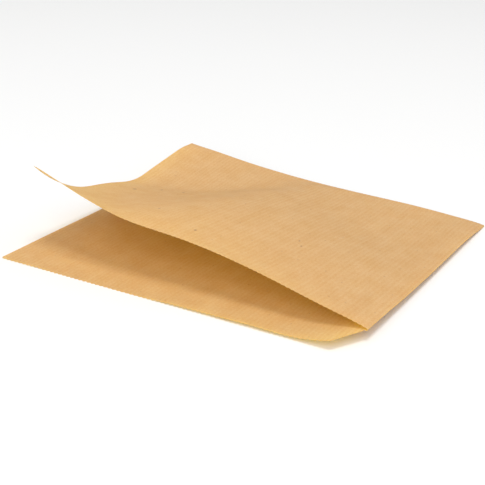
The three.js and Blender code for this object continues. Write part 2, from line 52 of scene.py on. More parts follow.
MAP_MM = 360.0            # the unfolded sheet's map is this many mm across

KNOTS_U = [0, 0, 0, 0, 8, 17, 27, 38, 50, 64, 79, 95, 112, 129, 145, 158, 170, 170, 170, 170]
KNOTS_V = [0, 0, 0, 0, 9, 18, 30, 43, 56, 70, 84, 96, 107, 118, 130, 142, 152, 160, 160, 160, 160]
UPPER_NET = [
  [[-81.06, -71.15, 47.88], [-81.26, -68.82, 46], [-81.69, -64.19, 42.17], [-82.37, -56.55, 35.77], [-83.08, -47.53, 28.84], [-83.51, -36.52, 22.51], [-83.66, -24.22, 17.03], [-83.73, -10.67, 14.79], [-83.8, 2.39, 12.27], [-83.96, 14.2, 8.95], [-84.14, 25.45, 7.46], [-84.1, 36.63, 9.46], [-84.16, 48.14, 10.9], [-84.22, 59.42, 12.38], [-84.25, 69.39, 13.74], [-84.37, 75.54, 13.02], [-84.26, 78.21, 13.24]],
  [[-78.5, -71.56, 47.06], [-78.69, -69.18, 45.23], [-79.05, -64.41, 41.6], [-79.73, -56.63, 35.39], [-80.43, -47.59, 28.54], [-80.87, -36.59, 22.19], [-80.98, -24.14, 17.22], [-81.09, -10.73, 14.45], [-81.11, 2.41, 12.31], [-81.31, 14.15, 8.44], [-81.45, 25.48, 7.41], [-81.52, 36.74, 8.55], [-81.52, 48.21, 10.56], [-81.64, 59.5, 11.77], [-81.62, 69.44, 13.23], [-81.59, 75.46, 14.28], [-81.68, 78.15, 12.87]],
  [[-73.08, -72.43, 45.29], [-73.25, -70.01, 43.53], [-73.6, -65.18, 40], [-74.25, -57.21, 34.06], [-74.91, -48.06, 27.33], [-75.21, -36.7, 21.61], [-75.31, -24.04, 17.36], [-75.42, -10.79, 14.02], [-75.46, 2.39, 11.89], [-75.63, 14.18, 8.27], [-75.79, 25.51, 6.66], [-75.86, 36.81, 8.23], [-75.93, 48.36, 9.48], [-76.05, 59.62, 10.94], [-76.1, 69.53, 12.06], [-76.04, 75.46, 12.69], [-76.18, 78.19, 12.21]],
  [[-64.54, -73.94, 42.24], [-64.69, -71.43, 40.63], [-64.99, -66.43, 37.4], [-65.54, -58.14, 31.89], [-66.05, -48.52, 25.84], [-66.24, -36.9, 20.69], [-66.33, -24.01, 17.17], [-66.4, -10.74, 13.92], [-66.5, 2.37, 11.38], [-66.59, 14.36, 8.41], [-66.75, 25.59, 6.85], [-66.9, 36.95, 6.96], [-66.98, 48.51, 8.58], [-67.1, 59.77, 9.66], [-67.19, 69.69, 10.68], [-67.31, 75.68, 10.95], [-67.35, 78.32, 11.29]],
  [[-55.11, -75.69, 38.43], [-55.25, -73.08, 37.04], [-55.52, -67.85, 34.24], [-55.89, -59.17, 29.32], [-56.21, -49.08, 24.08], [-56.27, -36.96, 20.06], [-56.33, -23.96, 17.07], [-56.42, -10.56, 14.33], [-56.47, 2.37, 10.88], [-56.6, 14.61, 9.22], [-56.7, 25.63, 5.88], [-56.88, 37.05, 6.66], [-57.01, 48.65, 7.72], [-57.18, 59.99, 8.61], [-57.29, 69.95, 9.54], [-57.42, 75.96, 9.86], [-57.51, 78.63, 9.74]],
  [[-44.65, -77.47, 33.79], [-44.72, -74.72, 32.82], [-44.86, -69.2, 30.88], [-45.12, -59.86, 27.27], [-45.22, -49.17, 23.12], [-45.25, -36.8, 20.33], [-45.36, -23.68, 17.96], [-45.48, -10.27, 15.33], [-45.48, 2.69, 12.1], [-45.64, 14.82, 9.75], [-45.57, 25.8, 6.79], [-45.94, 37.28, 5.64], [-46.06, 48.86, 7.17], [-46.27, 60.22, 7.48], [-46.47, 70.24, 8.03], [-46.62, 76.27, 7.9], [-46.66, 78.93, 8.24]],
  [[-32.78, -78.84, 28.45], [-32.82, -75.96, 27.81], [-32.9, -70.2, 26.55], [-32.84, -60.23, 25.14], [-32.88, -48.85, 24.07], [-33.04, -36.37, 21.98], [-33.18, -23.25, 19.68], [-33.26, -9.87, 16.8], [-33.34, 3.13, 13.89], [-33.35, 15.16, 11.2], [-33.56, 26.41, 9.66], [-33.29, 37.27, 6.22], [-33.85, 49.22, 6.04], [-34.02, 60.53, 6.83], [-34.25, 70.58, 6.78], [-34.31, 76.52, 7.3], [-34.4, 79.21, 6.94]],
  [[-19.2, -79.21, 24.58], [-19.18, -76.18, 24.41], [-19.15, -70.12, 24.1], [-19.23, -60.15, 24.22], [-19.26, -48.82, 23.92], [-19.34, -36.17, 22.71], [-19.53, -22.9, 21.1], [-19.73, -9.35, 19.23], [-20.01, 4, 18.05], [-20.06, 15.92, 14.56], [-20.23, 27.12, 12.83], [-20.47, 38.39, 11.48], [-20.07, 49.34, 6.68], [-20.45, 60.79, 6.09], [-20.63, 70.72, 5.37], [-20.78, 76.87, 5.97], [-20.81, 79.49, 5.72]],
  [[-4.31, -79.23, 23.26], [-4.32, -76.22, 23.24], [-4.33, -70.19, 23.22], [-4.23, -60.11, 23.48], [-4.32, -48.82, 22.16], [-4.47, -36.24, 20.78], [-4.57, -22.96, 19.39], [-4.69, -9.33, 18.09], [-4.81, 3.82, 16.19], [-5, 16.04, 14.51], [-5.08, 27.35, 13.59], [-5.15, 38.53, 11.98], [-5.43, 50.22, 11.07], [-5.51, 61.34, 8.75], [-5.66, 71.29, 7.72], [-5.74, 76.92, 4.38], [-5.79, 79.65, 4.77]],
  [[11.88, -79.04, 23.26], [11.83, -76.07, 22.97], [11.74, -70.12, 22.36], [11.6, -60.23, 20.83], [11.42, -49, 19.34], [11.29, -36.4, 17.94], [11.15, -23.13, 16.6], [11.06, -9.55, 15.21], [10.98, 3.75, 14.03], [10.85, 15.96, 12.32], [10.69, 27.12, 10.36], [10.47, 38.31, 8.54], [10.38, 49.78, 6.41], [10.33, 61.14, 6], [10.27, 71.08, 4.84], [10.29, 77.26, 6.32], [10.22, 79.69, 4.23]],
  [[28.65, -78.97, 21.29], [28.57, -76.02, 20.75], [28.41, -70.12, 19.64], [28, -60.37, 17.6], [27.67, -49.23, 15.55], [27.5, -36.66, 14.08], [27.43, -23.38, 12.82], [27.43, -9.74, 11.93], [27.46, 3.55, 11.16], [27.33, 15.79, 9.65], [27.13, 26.97, 7.87], [26.98, 38.15, 6.03], [26.97, 49.87, 5.76], [26.91, 61.15, 4.72], [26.92, 71.16, 4.75], [26.9, 77.05, 3.86], [26.86, 79.77, 3.8]],
  [[44.78, -79.31, 17.63], [44.69, -76.36, 17.08], [44.52, -70.46, 15.99], [44.3, -60.58, 14.22], [44.05, -49.41, 12.37], [43.91, -36.82, 10.96], [43.93, -23.51, 10.43], [43.94, -9.89, 9.64], [43.86, 3.39, 8.29], [43.69, 15.57, 6.42], [43.55, 26.78, 4.68], [43.53, 38.14, 4.08], [43.54, 49.77, 3.63], [43.58, 61.12, 3.71], [43.58, 71.09, 3.27], [43.59, 77.14, 3.54], [43.63, 79.78, 3.59]],
  [[59.58, -79.63, 13.78], [59.52, -76.66, 13.22], [59.39, -70.73, 12.12], [59.18, -60.88, 10.63], [59.01, -49.62, 9.08], [59.07, -36.95, 8.68], [59.14, -23.64, 8.36], [59.17, -9.97, 7.77], [59, 3.23, 5.84], [58.87, 15.46, 4.23], [58.85, 26.8, 3.56], [58.84, 38.09, 2.99], [58.84, 49.76, 2.68], [58.85, 61.09, 2.39], [58.89, 71.1, 2.71], [58.93, 77.07, 2.74], [58.93, 79.75, 2.87]],
  [[72.64, -79.94, 10.2], [72.64, -76.97, 9.84], [72.64, -71.04, 9.07], [72.47, -61.07, 7.67], [72.5, -49.75, 6.96], [72.48, -37.11, 6.06], [72.61, -23.78, 5.98], [72.61, -10.14, 5.31], [72.52, 3.14, 4.04], [72.47, 15.43, 2.99], [72.46, 26.73, 2.2], [72.49, 38.09, 1.96], [72.51, 49.75, 2.02], [72.53, 61.08, 2.57], [72.55, 71.06, 2.2], [72.54, 77.09, 2.03], [72.56, 79.75, 1.93]],
  [[80.47, -80.12, 7.34], [80.51, -77.13, 7.14], [80.59, -71.13, 6.95], [80.72, -61.18, 6.35], [80.62, -49.87, 5.34], [80.75, -37.18, 4.96], [80.76, -23.88, 4.09], [80.83, -10.22, 3.96], [80.77, 3.08, 2.91], [80.82, 15.41, 2.41], [80.83, 26.76, 2.59], [80.82, 38.08, 2.64], [80.83, 49.75, 2.95], [80.86, 61.08, 2.37], [80.88, 71.08, 2.13], [80.85, 77.04, 1.62], [80.84, 79.72, 1.47]],
  [[84.22, -80.2, 6.6], [84.26, -77.24, 6.15], [84.35, -71.29, 5.21], [84.49, -61.27, 5.17], [84.62, -49.9, 4.95], [84.67, -37.24, 4.25], [84.73, -23.91, 3.48], [84.79, -10.23, 3.51], [84.81, 3.09, 2.98], [84.8, 15.43, 2.97], [84.81, 26.75, 2.87], [84.81, 38.08, 2.86], [84.83, 49.74, 2.73], [84.86, 61.07, 2.25], [84.85, 71.05, 1.4], [84.81, 77.04, 1.02], [84.76, 79.69, 0.7]],
]
LOWER_NET = [
  [[-85.23, -80.17, 0.49], [-85.22, -77.17, 0.47], [-85.21, -71.17, 0.42], [-85.19, -61.17, 0.41], [-85.18, -49.83, 0.42], [-85.18, -37.17, 0.3], [-85.17, -23.84, 0.18], [-85.17, -10.18, 0.08], [-85.17, 3.15, 0.07], [-85.18, 15.48, -0.02], [-85.19, 26.8, 0.12], [-85.2, 38.1, 1.12], [-85.15, 49.59, 3.24], [-84.99, 60.55, 6.18], [-84.76, 70.1, 9.29], [-84.49, 75.72, 11.52], [-84.26, 78.21, 12.54]],
  [[-82.56, -80.17, 0.39], [-82.55, -77.17, 0.38], [-82.54, -71.17, 0.37], [-82.52, -61.17, 0.37], [-82.51, -49.84, 0.38], [-82.51, -37.17, 0.28], [-82.51, -23.84, 0.17], [-82.5, -10.18, 0.07], [-82.51, 3.15, 0.06], [-82.51, 15.48, -0.01], [-82.52, 26.81, 0.09], [-82.53, 38.11, 1], [-82.49, 49.62, 2.99], [-82.35, 60.61, 5.82], [-82.13, 70.14, 8.92], [-81.85, 75.68, 11.16], [-81.68, 78.15, 12.17]],
  [[-76.88, -80.18, 0.14], [-76.88, -77.18, 0.21], [-76.87, -71.18, 0.28], [-76.86, -61.17, 0.29], [-76.85, -49.84, 0.29], [-76.84, -37.17, 0.22], [-76.84, -23.84, 0.14], [-76.84, -10.18, 0.06], [-76.84, 3.15, 0.02], [-76.84, 15.48, 0.01], [-76.85, 26.81, 0.04], [-76.87, 38.13, 0.75], [-76.85, 49.68, 2.45], [-76.75, 60.73, 5.01], [-76.51, 70.23, 8.04], [-76.25, 75.72, 10.45], [-76.18, 78.19, 11.51]],
  [[-67.87, -80.17, 0.47], [-67.87, -77.17, 0.4], [-67.86, -71.17, 0.28], [-67.86, -61.18, 0.22], [-67.85, -49.84, 0.18], [-67.84, -37.18, 0.15], [-67.84, -23.84, 0.09], [-67.84, -10.17, 0.05], [-67.84, 3.16, 0.01], [-67.84, 15.49, 0.03], [-67.85, 26.82, -0.01], [-67.86, 38.15, 0.44], [-67.87, 49.75, 1.64], [-67.8, 60.89, 3.79], [-67.59, 70.39, 6.98], [-67.41, 75.86, 9.54], [-67.35, 78.32, 10.59]],
  [[-57.86, -80.18, 0.18], [-57.86, -77.18, 0.18], [-57.86, -71.18, 0.16], [-57.85, -61.18, 0.12], [-57.85, -49.85, 0.1], [-57.84, -37.18, 0.08], [-57.84, -23.84, 0.06], [-57.84, -10.17, 0.03], [-57.84, 3.16, 0.02], [-57.84, 15.5, 0.03], [-57.84, 26.83, -0.01], [-57.85, 38.16, 0.21], [-57.87, 49.8, 0.98], [-57.83, 60.99, 2.88], [-57.7, 70.55, 5.92], [-57.57, 76.12, 8.12], [-57.51, 78.63, 9.04]],
  [[-46.86, -80.19, -0.1], [-46.86, -77.19, -0.06], [-46.86, -71.19, -0.01], [-46.85, -61.18, 0.03], [-46.85, -49.85, 0.04], [-46.85, -37.18, 0.04], [-46.84, -23.84, 0.03], [-46.84, -10.17, 0.02], [-46.84, 3.17, 0.02], [-46.84, 15.5, 0.02], [-46.84, 26.84, 0.02], [-46.84, 38.17, 0.09], [-46.85, 49.82, 0.63], [-46.84, 61.07, 2.16], [-46.77, 70.76, 4.65], [-46.69, 76.42, 6.65], [-46.66, 78.93, 7.54]],
  [[-34.52, -80.18, 0.15], [-34.52, -77.18, 0.12], [-34.52, -71.18, 0.06], [-34.52, -61.18, 0.03], [-34.52, -49.84, 0.02], [-34.52, -37.17, 0.01], [-34.51, -23.84, 0.02], [-34.51, -10.17, 0.02], [-34.5, 3.17, 0.02], [-34.5, 15.51, 0.03], [-34.5, 26.84, 0.01], [-34.5, 38.17, 0.09], [-34.49, 49.83, 0.5], [-34.49, 61.11, 1.67], [-34.47, 70.92, 3.7], [-34.42, 76.66, 5.46], [-34.4, 79.21, 6.24]],
  [[-20.85, -80.18, -0.11], [-20.86, -77.18, -0.08], [-20.86, -71.18, -0.03], [-20.86, -61.18, 0.01], [-20.86, -49.84, 0.02], [-20.85, -37.17, 0.03], [-20.85, -23.84, 0.02], [-20.84, -10.17, 0.02], [-20.84, 3.17, 0.02], [-20.83, 15.5, 0.01], [-20.82, 26.84, 0.03], [-20.82, 38.17, 0.17], [-20.81, 49.83, 0.57], [-20.81, 61.13, 1.57], [-20.8, 71.01, 3.16], [-20.8, 76.88, 4.45], [-20.81, 79.49, 5.02]],
  [[-5.86, -80.17, 0.42], [-5.86, -77.17, 0.37], [-5.86, -71.17, 0.27], [-5.86, -61.17, 0.12], [-5.86, -49.84, 0.01], [-5.86, -37.17, 0.02], [-5.85, -23.84, 0.02], [-5.84, -10.17, 0.02], [-5.83, 3.17, 0.01], [-5.83, 15.5, 0.04], [-5.82, 26.83, 0.13], [-5.81, 38.17, 0.32], [-5.8, 49.82, 0.76], [-5.8, 61.13, 1.64], [-5.8, 71.06, 2.86], [-5.8, 77.01, 3.7], [-5.79, 79.65, 4.07]],
  [[10.12, -80.16, 1.05], [10.12, -77.16, 0.92], [10.12, -71.17, 0.67], [10.13, -61.17, 0.31], [10.14, -49.84, 0.07], [10.14, -37.17, 0.02], [10.15, -23.84, 0.03], [10.16, -10.18, 0.01], [10.17, 3.16, 0.02], [10.18, 15.49, 0.11], [10.19, 26.83, 0.25], [10.2, 38.16, 0.5], [10.21, 49.82, 0.91], [10.21, 61.13, 1.62], [10.21, 71.08, 2.52], [10.21, 77.04, 3.22], [10.22, 79.69, 3.53]],
  [[26.78, -80.17, 0.9], [26.78, -77.17, 0.82], [26.78, -71.17, 0.65], [26.79, -61.18, 0.31], [26.8, -49.85, 0.04], [26.81, -37.18, -0.01], [26.82, -23.85, 0.01], [26.83, -10.19, 0.02], [26.84, 3.15, 0.07], [26.84, 15.48, 0.17], [26.85, 26.81, 0.35], [26.86, 38.15, 0.63], [26.88, 49.81, 1.09], [26.89, 61.14, 1.65], [26.89, 71.13, 2.38], [26.88, 77.11, 2.89], [26.86, 79.77, 3.1]],
  [[43.41, -80.17, 1.56], [43.41, -77.18, 1.34], [43.43, -71.19, 0.92], [43.44, -61.19, 0.38], [43.47, -49.86, 0.1], [43.48, -37.19, 0.13], [43.49, -23.86, 0.23], [43.5, -10.2, 0.29], [43.51, 3.13, 0.28], [43.51, 15.46, 0.31], [43.52, 26.79, 0.44], [43.53, 38.13, 0.7], [43.53, 49.8, 1.02], [43.54, 61.13, 1.61], [43.57, 71.13, 2.23], [43.6, 77.12, 2.68], [43.63, 79.78, 2.89]],
  [[58.76, -80.21, 0.77], [58.76, -77.21, 0.77], [58.76, -71.2, 0.77], [58.79, -61.21, 0.79], [58.78, -49.87, 0.88], [58.8, -37.21, 0.93], [58.81, -23.88, 0.93], [58.83, -10.22, 0.87], [58.84, 3.11, 0.73], [58.85, 15.44, 0.6], [58.86, 26.78, 0.55], [58.85, 38.11, 0.8], [58.86, 49.76, 1.35], [58.86, 61.1, 1.26], [58.88, 71.11, 1.37], [58.91, 77.1, 1.87], [58.93, 79.75, 2.17]],
  [[72.27, -80.23, 2.99], [72.31, -77.25, 2.92], [72.32, -71.23, 2.92], [72.29, -61.21, 2.85], [72.38, -49.89, 2.41], [72.42, -37.23, 2.2], [72.45, -23.9, 1.91], [72.48, -10.23, 1.69], [72.5, 3.1, 1.46], [72.52, 15.43, 1.07], [72.53, 26.76, 0.93], [72.54, 38.09, 0.55], [72.53, 49.76, 0.94], [72.52, 61.07, 1.06], [72.52, 71.07, 0.8], [72.55, 77.08, 1.3], [72.56, 79.75, 1.23]],
  [[80.25, -80.21, 5.32], [80.34, -77.26, 4.86], [80.31, -71.25, 4.45], [80.51, -61.21, 4.24], [80.64, -49.9, 3.62], [80.7, -37.25, 3.11], [80.75, -23.9, 2.51], [80.8, -10.23, 2.4], [80.81, 3.09, 2.08], [80.84, 15.42, 1.7], [80.84, 26.76, 1.59], [80.85, 38.08, 1.66], [80.87, 49.74, 1.36], [80.86, 61.07, 1.46], [80.86, 71.04, 0.71], [80.82, 77.04, 0.85], [80.84, 79.72, 0.77]],
  [[84.22, -80.2, 5.9], [84.26, -77.24, 5.45], [84.35, -71.29, 4.51], [84.49, -61.27, 4.47], [84.62, -49.9, 4.25], [84.67, -37.24, 3.55], [84.73, -23.91, 2.78], [84.79, -10.23, 2.81], [84.81, 3.09, 2.28], [84.8, 15.43, 2.27], [84.81, 26.75, 2.17], [84.81, 38.08, 2.16], [84.83, 49.74, 2.03], [84.86, 61.07, 1.55], [84.85, 71.05, 0.7], [84.81, 77.04, 0.32], [84.76, 79.69, -0]],
]
UPPER_NET = np.array(UPPER_NET, float)
LOWER_NET = np.array(LOWER_NET, float)


# ---------------------------------------------------------------- surface evaluation
def weights(knots, t):
    """The cubic B-spline weights of every control point at each t."""
    knots = np.asarray(knots, float)
    t = np.clip(np.atleast_1d(np.asarray(t, float)), knots[0], knots[-1] - 1e-9)
    n = len(knots) - 4
    b = np.zeros((len(t), len(knots) - 1))
    for i in range(len(knots) - 1):
        b[:, i] = (t >= knots[i]) & (t < knots[i + 1])
    for d in range(1, 4):
        nb = np.zeros((len(t), len(knots) - 1 - d))
        for i in range(len(knots) - 1 - d):
            a0, a1 = knots[i + d] - knots[i], knots[i + d + 1] - knots[i + 1]
            if a0 > 0:
                nb[:, i] += (t - knots[i]) / a0 * b[:, i]
            if a1 > 0:
                nb[:, i] += (knots[i + d + 1] - t) / a1 * b[:, i + 1]
        b = nb
    return b[:, :n]


def on_net(net, u, v):
    """Points of a net at paired u, v."""
    wu, wv = weights(KNOTS_U, u), weights(KNOTS_V, v)
    return np.einsum("na,nb,abk->nk", wu, wv, net)


def smooth(t):
    t = np.clip(t, 0, 1)
    return t * t * (3 - 2 * t)


def cockle(u, v, seed):
    """Slight waviness of thin paper, in mm, with waves of about 15 to 60 mm."""
    rng = np.random.default_rng(seed)
    z = np.zeros(len(u))
    for _ in range(18):
        wave = rng.uniform(16, 60)
        turn = rng.uniform(0, math.pi)
        z += wave / 60 * np.sin(2 * math.pi * (u * math.cos(turn) + v * math.sin(turn)) / wave + rng.uniform(0, 6.28))
    return z / 3.0


COCKLE = 0.10
FLAT_Z = THICKNESS / 2


def lower(u, v):
    p = on_net(LOWER_NET, u, v)
    p[:, 2] = np.maximum(p[:, 2], FLAT_Z)
    return p


def upper(u, v):
    p, q = on_net(UPPER_NET, u, v), lower(u, v)
    # the waves fade out at the fold, the seam and the free edges
    fade = smooth((WIDTH - u) / 14) * smooth((DEPTH - v) / 12) * (0.35 + 0.65 * smooth(u / 10) * smooth((v - LIP) / 10))
    p[:, 2] += COCKLE * fade * cockle(u, v, 5)
    p[:, 2] = np.maximum(p[:, 2], q[:, 2] + 2 * FOLD_RADIUS)
    return p


# ---------------------------------------------------------------- the sheet as one middle surface
mid, out_gap, rib_u, faces, corner_map = [], [], [], [], []
total = 0


def add_points(p, u, out=None):
    """Adds middle-surface points and returns their numbers."""
    global total
    p = np.atleast_2d(p)
    mid.append(p)
    out_gap.append(np.full(len(p), THICKNESS / 2) if out is None else np.broadcast_to(out, len(p)).astype(float))
    rib_u.append(np.broadcast_to(u, len(p)).astype(float))
    ids = np.arange(total, total + len(p))
    total += len(p)
    return ids


def add_face(ids, at):
    """A face with its corners on the unfolded sheet's map, in mm."""
    keep = [k for k in range(len(ids)) if ids[k] != ids[k - 1]]
    if len(keep) >= 3:
        faces.append([int(ids[k]) for k in keep])
        corner_map.append([at[k] for k in keep])


def patch(grid, mx, my, flip):
    ni, nj = grid.shape
    for i in range(ni - 1):
        for j in range(nj - 1):
            ids = [grid[i, j], grid[i + 1, j], grid[i + 1, j + 1], grid[i, j + 1]]
            at = [(mx[i, j], my[i, j]), (mx[i + 1, j], my[i + 1, j]), (mx[i + 1, j + 1], my[i + 1, j + 1]), (mx[i, j + 1], my[i, j + 1])]
            if flip:
                ids, at = ids[::-1], at[::-1]
            add_face(ids, at)


def zip_rows(front, back, flip):
    """Joins two chains of (u, id, map x, map y) that run the same way with different steps."""
    i = j = 0
    while i + 1 < len(front) or j + 1 < len(back):
        take = j + 1 >= len(back) or (i + 1 < len(front) and front[i + 1][0] <= back[j + 1][0] + 1e-9)
        tri = [front[i], front[i + 1], back[j]] if take else [front[i], back[j + 1], back[j]]
        if flip:
            tri = tri[::-1]
        add_face([t[1] for t in tri], [(t[2], t[3]) for t in tri])
        if take:
            i += 1
        else:
            j += 1


def tooth(u):
    """0 at a tip, 1 in a valley: a serrated knife's cut with slightly blunt tips."""
    t = np.abs((u / TOOTH_PITCH) % 1.0 * 2 - 1)
    return 0.5 - 0.5 * np.sin((0.5 - t) * math.pi * 0.92) / math.sin(0.46 * math.pi)


def uneven(u, seed):
    """A cut edge isn't quite even from tooth to tooth."""
    rng = np.random.default_rng(seed)
    return np.interp(u, np.arange(0, 176, 1.25), rng.uniform(-0.06, 0.06, 141))


UPPER_MAP = 2 * WIDTH + math.pi * FOLD_RADIUS   # the upper ply lies mirrored beyond the fold
cols = np.arange(0, 320 + 1) * COLUMN
cols = np.unique(np.concatenate([cols[cols < LIP_NOTCH_U - 0.2], [LIP_NOTCH_U, WIDTH]]))
rows = np.concatenate([[LIP], [16.6], np.linspace(18.5, 147.9, 45), [148.0, 148.04], np.linspace(150.5, DEPTH, 5)])
NU, NV = len(cols), len(rows)


def grid_of(surface, us, vs, out_of=None):
    u, v = np.meshgrid(us, vs, indexing="ij")
    p = surface(u.ravel(), v.ravel())
    ids = add_points(p, u.ravel(), None if out_of is None else out_of(u.ravel(), v.ravel())).reshape(u.shape)
    return ids, u, v


def flap_gap(u, v):
    return np.where(v > DEPTH - FLAP + 0.02, 1.5 * THICKNESS, 0.5 * THICKNESS)


# upper ply
up, uu, uv_ = grid_of(upper, cols, rows[1:])
patch(up, UPPER_MAP - uu, uv_, False)
eu = np.append(np.arange(0, WIDTH - 0.2, TOOTH_PITCH / 8), WIDTH)
ev = LIP + TOOTH_DEPTH * tooth(eu) + uneven(eu, 11)
up_front = add_points(upper(eu, ev), eu)
zip_rows([(eu[k], up_front[k], UPPER_MAP - eu[k], ev[k]) for k in range(len(eu))],
         [(cols[i], up[i, 0], UPPER_MAP - cols[i], rows[1]) for i in range(NU)], False)

# lower ply, its lip and the lip's serrated edge
lo, lu, lv = grid_of(lower, cols, rows, flap_gap)
patch(lo, lu, lv, True)


def lip_right(v):
    return np.where(v <= LIP_SHOULDER_V,
                    LIP_CORNER_U + (LIP_SHOULDER_U - LIP_CORNER_U) * v / LIP_SHOULDER_V,
                    LIP_SHOULDER_U + (LIP_NOTCH_U - LIP_SHOULDER_U) * (v - LIP_SHOULDER_V) / (LIP - LIP_SHOULDER_V))


PLAIN = 147.0


def lip_column(u, v):
    return np.where(u <= PLAIN, u, PLAIN + (u - PLAIN) * (lip_right(v) - PLAIN) / (LIP_NOTCH_U - PLAIN))


lip_rows = np.array([1.6, 4.0, 6.4, 8.8, 11.0, LIP_SHOULDER_V])
lc = cols[:-1]
gu, gv = np.meshgrid(lc, lip_rows, indexing="ij")
gu = lip_column(gu, gv)
lip = add_points(lower(gu.ravel(), gv.ravel()), gu.ravel()).reshape(gu.shape)
lip = np.concatenate([lip, lo[:-1, :1]], axis=1)
patch(lip, np.concatenate([gu, lc[:, None]], axis=1), np.concatenate([gv, np.full((len(lc), 1), LIP)], axis=1), True)
fu = np.append(np.arange(0, LIP_CORNER_U - 0.2, TOOTH_PITCH / 8), LIP_CORNER_U)
fv = TOOTH_DEPTH * tooth(fu) + uneven(fu, 12)
lip_front = add_points(lower(fu, fv), fu)
zip_rows([(fu[k], lip_front[k], fu[k], fv[k]) for k in range(len(fu))],
         [(gu[i, 0], lip[i, 0], gu[i, 0], lip_rows[0]) for i in range(len(lc))], True)

# fold and back edge: half rounds from the lower ply's edge up to the upper ply's
base = np.concatenate(mid)
gaps = np.concatenate(out_gap)
up_edge = np.concatenate([[up_front[-1]], up[-1]])
rings, ring_at = [], []


def half_round(low, high, direction, u):
    centre, half = (base[low] + base[high]) / 2, (base[high] - base[low]) / 2
    r = np.linalg.norm(half)
    top = half / r
    side = direction - top * direction.dot(top)
    side /= np.linalg.norm(side)
    a = -math.pi / 2 + math.pi * np.arange(1, FOLD_STEPS) / FOLD_STEPS
    share = np.arange(1, FOLD_STEPS) / FOLD_STEPS
    p = centre + r * (np.sin(a)[:, None] * top + np.cos(a)[:, None] * side)
    ids = add_points(p, u, gaps[low] * (1 - share) + gaps[high] * share)
    return [low, *ids, high]


def flat_dir(a, b, left):
    d = base[b] - base[a]
    n = np.array([-d[1], d[0], 0.0]) if left else np.array([d[1], -d[0], 0.0])
    return n / np.linalg.norm(n)


arc = math.pi * FOLD_RADIUS * np.arange(FOLD_STEPS + 1) / FOLD_STEPS
for j in range(NV):
    d = flat_dir(lo[-1, max(j - 1, 0)], lo[-1, min(j + 1, NV - 1)], False)
    rings.append(half_round(lo[-1, j], up_edge[j], d, WIDTH))
    ring_at.append([(WIDTH + s, rows[j]) for s in arc])
side_dir = flat_dir(lo[-1, -2], lo[-1, -1], False)
back_dir = flat_dir(lo[-2, -1], lo[-1, -1], True)
for k in range(1, CORNER_STEPS + 1):
    t = k / CORNER_STEPS * math.pi / 2
    d = side_dir * math.cos(t) + back_dir * math.sin(t)
    rings.append(half_round(lo[-1, -1], up[-1, -1], d / np.linalg.norm(d), WIDTH))
    ring_at.append([(UPPER_MAP - WIDTH - 0.1 * (CORNER_STEPS - k), DEPTH + 1.1 - s) for s in arc])
for i in range(NU - 2, -1, -1):
    d = flat_dir(lo[max(i - 1, 0), -1], lo[min(i + 1, NU - 1), -1], True)
    rings.append(half_round(lo[i, -1], up[i, -1], d, cols[i]))
    ring_at.append([(UPPER_MAP - cols[i], DEPTH + 1.1 - s) for s in arc])
for k in range(len(rings) - 1):
    for m in range(FOLD_STEPS):
        add_face([rings[k][m], rings[k + 1][m], rings[k + 1][m + 1], rings[k][m + 1]],
                 [ring_at[k][m], ring_at[k + 1][m], ring_at[k + 1][m + 1], ring_at[k][m + 1]])

# ---------------------------------------------------------------- thickness, ribs and the closed body
mid = np.concatenate(mid)
out_gap = np.concatenate(out_gap)
rib_u = np.concatenate(rib_u)
count = len(mid)
normals = np.zeros((count, 3))
tri = np.array([f[:3] for f in faces] + [[f[0], f[2], f[3]] for f in faces if len(f) == 4])
n = np.cross(mid[tri[:, 1]] - mid[tri[:, 0]], mid[tri[:, 2]] - mid[tri[:, 0]])
n /= np.maximum(np.linalg.norm(n, axis=1), 1e-12)[:, None]
for k in range(3):
    a, b = mid[tri[:, (k + 1) % 3]] - mid[tri[:, k]], mid[tri[:, (k + 2) % 3]] - mid[tri[:, k]]
    cosine = (a * b).sum(1) / np.maximum(np.linalg.norm(a, axis=1) * np.linalg.norm(b, axis=1), 1e-12)
    for c in range(3):
        np.add.at(normals[:, c], tri[:, k], n[:, c] * np.arccos(np.clip(cosine, -1, 1)))
normals /= np.maximum(np.linalg.norm(normals, axis=1), 1e-12)[:, None]

rib = RIB_HEIGHT * np.cos(2 * math.pi * rib_u / RIB_PITCH)
outer = mid + normals * (out_gap + rib)[:, None]
inner = mid - normals * (THICKNESS / 2 - 0.4 * rib)[:, None]
outer[:, 2] = np.maximum(outer[:, 2], 0.0)
points = np.concatenate([outer, inner]) / 1000.0

all_faces = list(faces) + [[count + i for i in f[::-1]] for f in faces]
maps = list(corner_map) + [[(x, y + 178.0) for x, y in c[::-1]] for c in corner_map]
edge_of = {}
for f, c in zip(faces, corner_map):
    for k in range(len(f)):
        edge_of[(f[k], f[(k + 1) % len(f)])] = (c[k], c[(k + 1) % len(f)])
rim = [(p, q, at) for (p, q), at in edge_of.items() if (q, p) not in edge_of]
for p, q, (ap, aq) in rim:
    dx, dy = aq[0] - ap[0], aq[1] - ap[1]
    s = 0.5 / max(math.hypot(dx, dy), 1e-9)
    ox, oy = dy * s, -dx * s
    all_faces.append([q, p, count + p, count + q])
    maps.append([aq, ap, (ap[0] + ox, ap[1] + oy), (aq[0] + ox, aq[1] + oy)])

